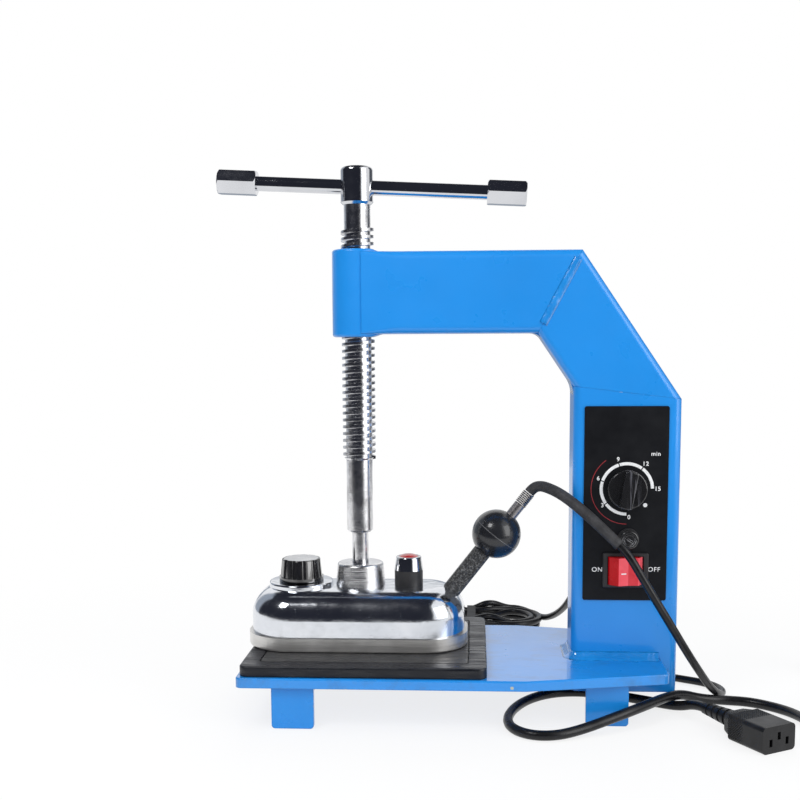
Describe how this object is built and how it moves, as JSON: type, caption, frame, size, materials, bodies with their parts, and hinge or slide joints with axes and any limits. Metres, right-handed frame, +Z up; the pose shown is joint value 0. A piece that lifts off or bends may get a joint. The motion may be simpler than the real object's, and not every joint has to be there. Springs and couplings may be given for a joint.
{
  "type": "tire vulcanizing machine",
  "caption": "Bench tube-patch vulcanizer: a heated head on a hand screw presses down on a rubber pad under a swan-neck arm.",
  "frame": {"origin": "on the floor under the middle of the machine, the loose cords left out", "axes": "+X from the screw towards the column, +Y to the back, +Z up"},
  "size_m": [0.5185, 0.3595, 0.3913],
  "materials": {
    "frame_paint": "gloss blue paint",
    "turned_steel": "turned, bright",
    "screw_steel": "cut thread, lightly oiled",
    "bar_chrome": "polished",
    "zinc_steel": "zinc plated",
    "pad_rubber": "matt, dusty",
    "inlay_rubber": "matt",
    "heater_aluminium": "milled",
    "heater_mica": "layered mica",
    "cover_chrome": "mirror plated",
    "cup_steel": "turned and plated",
    "knob_black": "moulded",
    "knob_insert": "spun",
    "device_black": "moulded",
    "device_grey": "moulded",
    "lamp_chrome": "polished",
    "lamp_lens": "coloured lens",
    "handle_paint": "crinkle black",
    "ball_black": "moulded, with a seam",
    "spring_steel": "drawn wire",
    "sleeve_black": "soft tubing",
    "cord_black": "smooth sheath",
    "panel_black": "satin black with white print",
    "rocker_red": "moulded",
    "fuse_glass": "clear tube",
    "contact_brass": "plated",
    "terminal_white": "moulded",
    "tie_black": "moulded"
  },
  "bodies": {
    "frame": {"base_plate": "frame_paint", "foot_brackets": "frame_paint", "arm_tube": "frame_paint", "brace_tube": "frame_paint", "column_tube": "frame_paint", "weld_beads": "frame_paint", "screw_nut_boss": "frame_paint", "rubber_pad": "pad_rubber", "pad_inlay": "inlay_rubber", "control_panel": "panel_black", "timer_body": "device_grey", "timer_nut": "zinc_steel", "fuse_holder": "device_black", "fuse_link": "fuse_glass", "switch_housing": "device_black", "rear_cover": "frame_paint", "rear_screws": "zinc_steel", "mains_inlet": "device_black", "mains_inlet_pins": "contact_brass", "cord_gland": "device_black", "terminal_block": "terminal_white", "head_cord_drop": "cord_black", "head_cord_hank": "cord_black", "head_cord_riser": "cord_black", "cord_ties": "tie_black", "mains_lead": "cord_black", "mains_coil": "cord_black", "mains_tail": "cord_black", "mains_connector": "cord_black", "mains_plug": "cord_black", "mains_plug_pins": "contact_brass"},
    "head": {"heating_plate": "heater_aluminium", "heater_element": "heater_mica", "heater_clamp_plate": "zinc_steel", "head_cover": "cover_chrome", "pressure_cup": "cup_steel", "cup_grub_screw": "zinc_steel", "head_stud": "zinc_steel", "pressure_spacer": "zinc_steel", "thermostat_body": "device_grey", "lamp_body": "device_black", "lamp_bezel": "lamp_chrome", "lamp_lens": "lamp_lens", "handle_bar": "handle_paint", "handle_ball": "ball_black", "cord_ferrule": "turned_steel", "strain_spring": "spring_steel", "cord_sleeve": "sleeve_black", "head_cord_inner": "cord_black"},
    "screw": {"lead_screw": "screw_steel", "screw_cap": "turned_steel"},
    "tommy_bar": {"tommy_bar": "bar_chrome", "tommy_bar_ends": "turned_steel"},
    "timer_knob": {"timer_knob": "knob_black", "timer_shaft": "zinc_steel"},
    "thermostat_knob": {"thermostat_knob": "knob_black", "thermostat_knob_insert": "knob_insert", "thermostat_shaft": "zinc_steel"},
    "fuse_cap": {"fuse_cap": "device_black"},
    "rocker": {"switch_rocker": "rocker_red"}
  },
  "joints": [
    {"name": "head_lift", "type": "slide", "parent": "frame", "child": "head", "axis": [0, 0, 1], "range_m": [0, 0.08], "deforming": ["head_cord_drop"]},
    {"name": "screw_spin", "type": "hinge", "parent": "head", "child": "screw", "pos_m": [-0.06541, 0, 0.1271], "axis": [0, 0, 1], "range_deg": [0, 5761]},
    {"name": "tommy_bar_slide", "type": "slide", "parent": "screw", "child": "tommy_bar", "axis": [0.9987, 0, -0.0506], "range_m": [-0.0812, 0.0597]},
    {"name": "timer_turn", "type": "hinge", "parent": "frame", "child": "timer_knob", "pos_m": [0.12769, -0.0338, 0.1616], "axis": [0, 1, 0], "range_deg": [-45, 270]},
    {"name": "thermostat_turn", "type": "hinge", "parent": "head", "child": "thermostat_knob", "pos_m": [-0.10991, 0, 0.09], "axis": [0, 0, 1], "range_deg": [-150, 150]},
    {"name": "fuse_cap_turn", "type": "hinge", "parent": "frame", "child": "fuse_cap", "pos_m": [0.1292, -0.021, 0.1258], "axis": [0, -1, 0], "range_deg": [0, 90]},
    {"name": "rocker_tilt", "type": "hinge", "parent": "frame", "child": "rocker", "pos_m": [0.12759, -0.0192, 0.1028], "axis": [0, 0, -1], "range_deg": [0, 20]}
  ],
  "couplings": [
    {"joint": "screw_spin", "follows": "head_lift", "rad_per_m": 1256.6}
  ]
}
